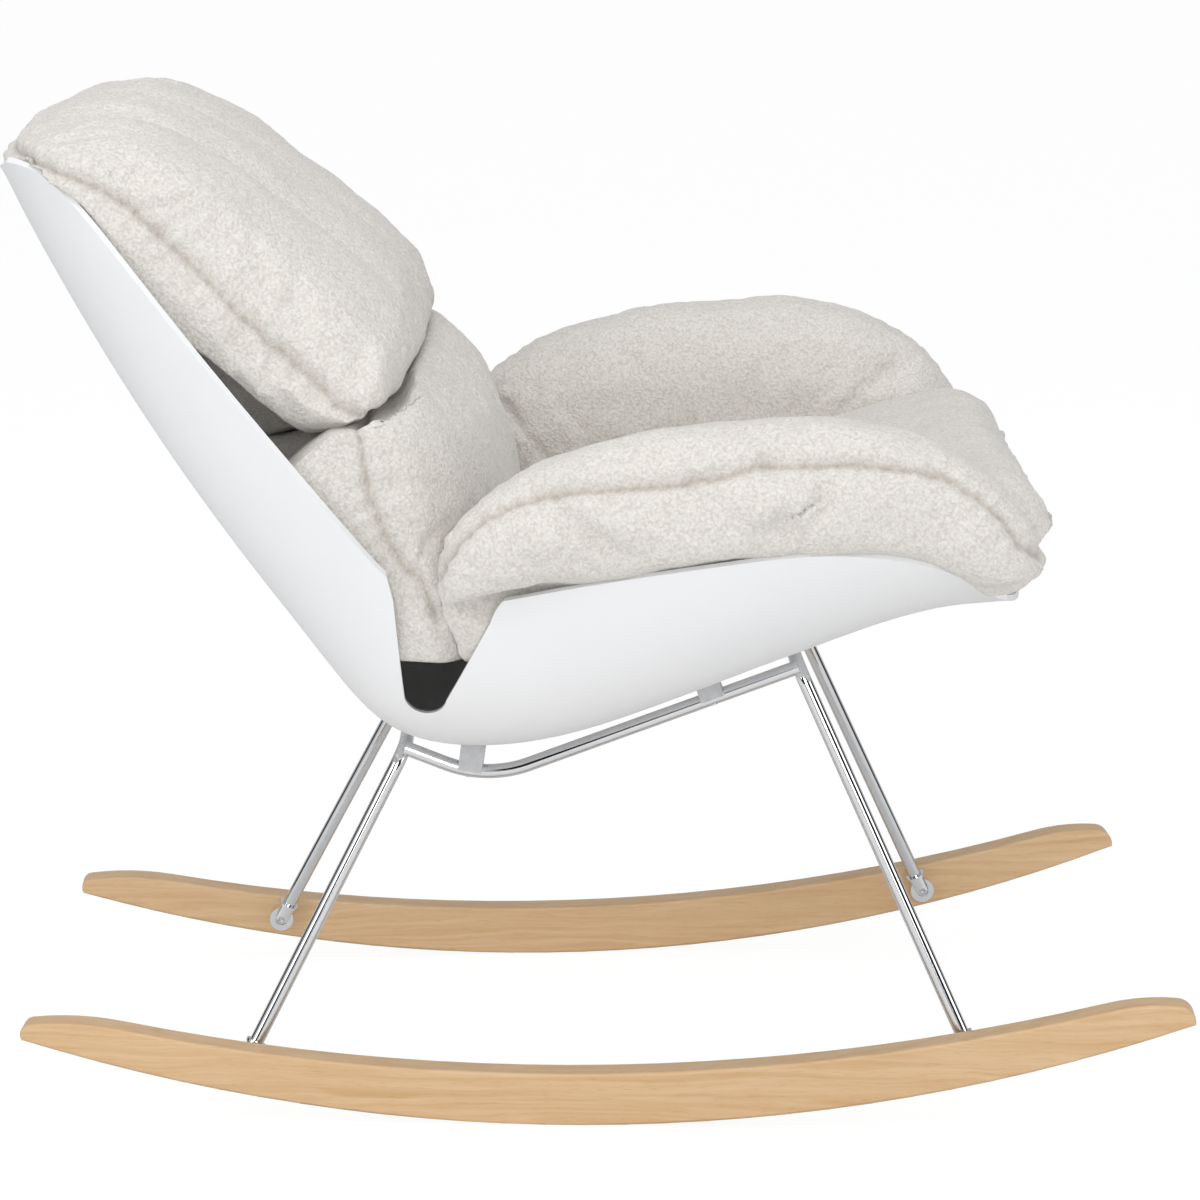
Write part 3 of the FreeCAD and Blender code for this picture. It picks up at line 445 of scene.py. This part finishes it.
def sew(points, normals, shade, line, where):
    """Draws a seam in: a narrow groove, a broad dip beside it and small puckers along it, with a
    thin painted shade along the groove.
    """
    gap, along = from_line(points[:, 0], points[:, 2], line)
    pucker = np.sin(along * 2 * math.pi / PUCKER_PITCH + 2.5 * ripple(points, 0.09, 5))
    depth = (GROOVE_DEPTH * hump(gap, GROOVE_WIDTH) + DIP_DEPTH * hump(gap, DIP_WIDTH)
             - WELT_HEIGHT * hump(gap - 0.011, 0.008) + PUCKER_HEIGHT * pucker * hump(gap, 0.016))
    # painted shade along the seam's groove, pulsing a little in strength along its length
    shade_pulse = 0.8 + 0.2 * np.sin(along * 2 * math.pi / SHADE_PULSE_PITCH)
    shade[:] = np.maximum(shade, 0.70 * hump(gap, SEAM_SHADE_WIDTH) * where * shade_pulse)
    return points - normals * (depth * where)[:, None]


def halve_faces(piece):
    finer = piece.modifiers.new("finer", "SUBSURF")
    finer.levels = 1
    finer.render_levels = 1
    apply_modifier(piece, finer)


def start_pad(source):
    """A stuffed pad, its points, their outward directions, no seam shade yet, and how far each
    point lies out to the side."""
    pad = merged_copy(source.replace("cushion", "pad"), source)
    even_skin(pad)
    stuff(pad, source)
    halve_faces(pad)
    points = coordinates(pad)
    return pad, points, outward(pad), np.zeros(len(points)), np.abs(points[:, 1])


# how far forward, and the least height there, so that the front ends above the shell's lip
FRONT_FORWARD = (0.30, 0.328, 0.347, 0.368, 0.383, 0.395, 0.41)
FRONT_LOWEST = (0.40, 0.456, 0.464, 0.470, 0.482, 0.497, 0.512)
FRONT_LIFT = 0.93
NOTCH_INSET = 0.075
UNEVEN_BROAD = 0.0012
UNEVEN_FINE = 0.0005


def close_pad(piece, source, points, normals, shade, side_out):
    """Frees the shell's lip and the notch, roughens the cloth a little and hands the pad over."""
    lowest = np.interp(points[:, 0], FRONT_FORWARD, FRONT_LOWEST)
    points[:, 2] += FRONT_LIFT * np.clip(lowest - points[:, 2], 0, None)
    # the cloth draws in behind the notch, which leaves the bottom of the notch dark
    inset = (NOTCH_INSET * smooth_step(0.405, 0.365, points[:, 2])
             * smooth_step(0.19, 0.24, side_out) * smooth_step(-0.20, -0.15, points[:, 0])
             * smooth_step(-0.02, -0.06, points[:, 0]))
    points[:, 1] -= np.sign(points[:, 1]) * inset
    uneven = UNEVEN_BROAD * ripple(points, 0.05, 11) + UNEVEN_FINE * ripple(points, 0.017, 3)
    set_coordinates(piece, points + normals * uneven[:, None])
    mark = piece.data.attributes.new("seam_shade", "FLOAT", "POINT")
    mark.data.foreach_set("value", np.ascontiguousarray(shade, dtype=np.float32))
    bpy.ops.object.select_all(action="DESELECT")
    piece.select_set(True)
    bpy.context.view_layer.objects.active = piece
    bpy.ops.object.shade_smooth()
    piece.data.materials.clear()
    piece.data.materials.append(boucle)
    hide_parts(source)
    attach(piece, "cushion")


# lines below are seen from the side: distance forward and height
PILLOW_SEAM = (
    (-0.500, 0.803), (-0.440, 0.803), (-0.400, 0.797), (-0.365, 0.786), (-0.336, 0.772),
    (-0.307, 0.747), (-0.266, 0.705), (-0.223, 0.659), (-0.171, 0.618), (-0.146, 0.607),
    (-0.090, 0.598))
PILLOW_EDGE = (
    (-0.379, 0.772), (-0.324, 0.699), (-0.293, 0.662), (-0.272, 0.647), (-0.238, 0.618),
    (-0.204, 0.595), (-0.187, 0.584), (-0.171, 0.582), (-0.100, 0.586))
PILLOW_CHANNELS = (-0.135, 0.0, 0.135)
NOSE_DROP = 0.014

pillow, points, normals, shade, side_out = start_pad("upper_back_cushion")
# the underside is drawn up at both sides, clear of the shell's wall
below, _ = from_line(points[:, 0], points[:, 2], PILLOW_EDGE)
lift = np.clip(-below, 0, None) * 0.95 * smooth_step(0.13, 0.22, side_out)
lift *= smooth_step(-0.38, -0.33, points[:, 0])
points[:, 0] += 0.62 * lift
points[:, 2] += 0.78 * lift
points = sew(points, normals, shade, PILLOW_SEAM, np.ones(len(points)))
on_front = smooth_step(0.35, 0.8, 0.62 * normals[:, 0] + 0.78 * normals[:, 2])
on_front *= smooth_step(-0.43, -0.34, points[:, 0]) * smooth_step(-0.12, -0.17, points[:, 0])
for channel in PILLOW_CHANNELS:
    gap = points[:, 1] - channel
    depth = 0.0035 * hump(gap, 0.006) + 0.0050 * hump(gap, 0.024)
    points = points - normals * (depth * on_front)[:, None]
# its lower nose hangs a little over the lumbar pad at both sides
from_nose = ((points[:, 0] + 0.175) / 0.05) ** 2 + ((points[:, 2] - 0.60) / 0.03) ** 2
points[:, 2] -= NOSE_DROP * (np.exp(-from_nose) * smooth_step(0.16, 0.23, side_out))
close_pad(pillow, "upper_back_cushion", points, normals, shade, side_out)

# Lumbar pad: a thick roll of the same cloth and filling across the small of the back, sewn to the
# pillow above it. A seam runs down each side to the notch, and behind it the pad falls away.

LUMBAR_EDGE = ((-0.300, 0.465), (-0.246, 0.520), (-0.207, 0.560), (-0.180, 0.584), (-0.150, 0.594))
LUMBAR_SEAM = (
    (-0.156, 0.640), (-0.152, 0.605), (-0.151, 0.573), (-0.144, 0.536), (-0.133, 0.506),
    (-0.119, 0.482), (-0.106, 0.473), (-0.090, 0.440))

lumbar, points, normals, shade, side_out = start_pad("lumbar_cushion")
above, _ = from_line(points[:, 0], points[:, 2], LUMBAR_EDGE)
fall = np.clip(above, 0, None) * 0.9 * smooth_step(0.13, 0.21, side_out)
fall *= smooth_step(-0.10, -0.16, points[:, 0])
points[:, 0] += 0.70 * fall
points[:, 2] -= 0.71 * fall
points = sew(points, normals, shade, LUMBAR_SEAM, smooth_step(0.18, 0.23, side_out))
close_pad(lumbar, "lumbar_cushion", points, normals, shade, side_out)

# Seat pad: the deepest pad, of the same cloth and filling, with a soft roll over the shell's lip.

TIP_START = 0.33
TIP_DRAW_BACK = 0.12

seat, points, normals, shade, side_out = start_pad("seat_cushion")
points[:, 0] -= TIP_DRAW_BACK * np.clip(points[:, 0] - TIP_START, 0, None)
close_pad(seat, "seat_cushion", points, normals, shade, side_out)

# Arm pads: a long soft roll over each side of the shell, of the same cloth and filling. A seam
# follows the crest, and the slack cloth under it lies in a few short folds.

ARM_SEAM = (
    (-0.110, 0.440), (-0.091, 0.496), (-0.077, 0.518), (-0.059, 0.535), (-0.032, 0.550),
    (-0.003, 0.558), (0.053, 0.562), (0.105, 0.566), (0.157, 0.579), (0.220, 0.581),
    (0.280, 0.577), (0.303, 0.570), (0.330, 0.554), (0.351, 0.537), (0.365, 0.517),
    (0.400, 0.490))
# the line of each fold, its depth and its width
ARM_FOLDS = (
    (((-0.008, 0.556), (0.020, 0.530), (0.052, 0.508), (0.078, 0.498)), 0.0085, 0.009),
    (((-0.034, 0.528), (-0.028, 0.508), (-0.008, 0.492)), 0.0040, 0.009),
    (((0.066, 0.488), (0.120, 0.497), (0.160, 0.500)), 0.0035, 0.008),
    (((0.158, 0.520), (0.176, 0.534), (0.190, 0.512)), 0.0075, 0.009),
    (((0.205, 0.570), (0.207, 0.545), (0.197, 0.520)), 0.0070, 0.008),
    (((0.285, 0.560), (0.300, 0.535), (0.300, 0.512)), 0.0025, 0.012))


def fold(points, normals, line, side, depth, width):
    """One crease in the cloth along a line on the outer face, deepest midway, with a soft lip."""
    gap, along = from_line(points[:, 0], points[:, 2], line)
    span = sum(math.dist(a, b) for a, b in zip(line[:-1], line[1:]))
    taper = np.sin(np.clip(along / span, 0.02, 0.98) * math.pi) ** 0.7
    on_face = smooth_step(0.30, 0.335, points[:, 1] * side) * taper
    dip = depth * hump(gap, width) - 0.6 * depth * hump(gap - 2.2 * width, 1.5 * width)
    return points - normals * (dip * on_face)[:, None]


for name, side in (("right", -1), ("left", 1)):
    source = "arm_cushion_" + name
    arm, points, normals, shade, side_out = start_pad(source)
    points = sew(points, normals, shade, ARM_SEAM, smooth_step(0.29, 0.32, side_out))
    for line, depth, width in ARM_FOLDS:
        points = fold(points, normals, line, side, depth, width)
    close_pad(arm, source, points, normals, shade, side_out)

# Floor: a plain pale sweep that keeps the chair's soft shadow.

bpy.ops.object.select_all(action="DESELECT")
bpy.ops.mesh.primitive_plane_add(size=40, location=(0, 0, -0.0005))
floor = bpy.context.object
floor.name = "studio_floor"
bpy.ops.object.transform_apply(location=True, rotation=True, scale=True)
floor_finish, tree, shader = new_material("pale_floor")
shader.inputs["Base Color"].default_value = (0.86, 0.86, 0.86, 1)
shader.inputs["Roughness"].default_value = 0.9
white = add_node(tree, "ShaderNodeEmission", Color=(1, 1, 1, 1), Strength=1.08)
path = tree.nodes.new("ShaderNodeLightPath")
mixed = tree.nodes.new("ShaderNodeMixShader")
seen = math_node(tree, "MULTIPLY", path.outputs["Is Camera Ray"], 0.85)
tree.links.new(seen, mixed.inputs["Fac"])
tree.links.new(shader.outputs["BSDF"], mixed.inputs[1])
tree.links.new(white.outputs["Emission"], mixed.inputs[2])
tree.links.new(mixed.outputs["Shader"], tree.nodes["Material Output"].inputs["Surface"])
floor.data.materials.append(floor_finish)

# Light: a pale studio with a broad lamp overhead, one beside the camera and two at the sides, and
# black cards that only polished metal shows.

world = bpy.data.worlds.new("studio")
bpy.context.scene.world = world
world.use_nodes = True
tree = world.node_tree
tree.nodes.clear()
out = tree.nodes.new("ShaderNodeOutputWorld")
path = tree.nodes.new("ShaderNodeLightPath")
white = add_node(tree, "ShaderNodeBackground", Color=(1, 1, 1, 1), Strength=1.0)
soft = add_node(tree, "ShaderNodeBackground", Color=(0.97, 0.985, 1, 1), Strength=0.52)
mixed = tree.nodes.new("ShaderNodeMixShader")
tree.links.new(path.outputs["Is Camera Ray"], mixed.inputs["Fac"])
tree.links.new(soft.outputs["Background"], mixed.inputs[1])
tree.links.new(white.outputs["Background"], mixed.inputs[2])
tree.links.new(mixed.outputs["Shader"], out.inputs["Surface"])


def soft_lamp(name, place, aim, width, height, power):
    """A broad lamp that looks from place towards aim."""
    lamp = bpy.data.lights.new(name, "AREA")
    lamp.shape = "RECTANGLE"
    lamp.size = width
    lamp.size_y = height
    lamp.energy = power
    holder = bpy.data.objects.new(name, lamp)
    bpy.context.scene.collection.objects.link(holder)
    holder.location = place
    holder.rotation_euler = (Vector(aim) - Vector(place)).to_track_quat("-Z", "Y").to_euler()
    return holder


MIDDLE_OF_CHAIR = (0.0, 0.0, 0.45)
soft_lamp("overhead", (-0.3, -0.4, 2.6), MIDDLE_OF_CHAIR, 2.4, 2.0, 22)
soft_lamp("near_left", (-2.2, -2.2, 1.5), MIDDLE_OF_CHAIR, 1.4, 1.8, 21)
soft_lamp("front_right", (2.6, -1.2, 1.2), MIDDLE_OF_CHAIR, 1.2, 1.8, 12)
soft_lamp("beside_camera", (0.3, -3.7, 1.25), MIDDLE_OF_CHAIR, 1.6, 1.6, 37)


def dark_card(name, place, aim, width, height):
    """A black card that shows only in polished metal, as the dark streaks along it."""
    bpy.ops.object.select_all(action="DESELECT")
    bpy.ops.mesh.primitive_plane_add(size=1)
    card = bpy.context.object
    card.name = name
    turn = (Vector(aim) - Vector(place)).to_track_quat("Z", "Y").to_matrix().to_4x4()
    stretch = Matrix.Diagonal((width, height, 1, 1))
    card.data.transform(Matrix.Translation(place) @ turn @ stretch)
    card.data.materials.append(black)
    card.visible_camera = False
    card.visible_diffuse = False
    card.visible_shadow = False


black, tree, shader = new_material("black_card")
shader.inputs["Base Color"].default_value = (0.01, 0.01, 0.01, 1)
shader.inputs["Roughness"].default_value = 0.9
dark_card("card_left", (-2.0, -3.1, 0.7), MIDDLE_OF_CHAIR, 2.7, 3.6)
dark_card("card_right", (2.1, -2.9, 0.7), MIDDLE_OF_CHAIR, 1.8, 3.6)
dark_card("card_front", (3.6, 0.6, 0.7), MIDDLE_OF_CHAIR, 1.8, 3.0)
dark_card("card_rear", (-3.6, 0.8, 0.7), MIDDLE_OF_CHAIR, 1.8, 3.0)

# Camera: level with the top of the back, looking down a little, from the chair's right side.

camera_data = bpy.data.cameras.new("camera")
camera_data.sensor_width = 36
camera_data.lens = 117
camera = bpy.data.objects.new("camera", camera_data)
bpy.context.scene.collection.objects.link(camera)
camera.location = (0.01444, -3.29681, 1.14)
camera.rotation_euler = (math.radians(90 - 12.796), 0, -math.radians(0.418))
bpy.context.scene.camera = camera
bpy.context.scene.view_settings.view_transform = "Standard"
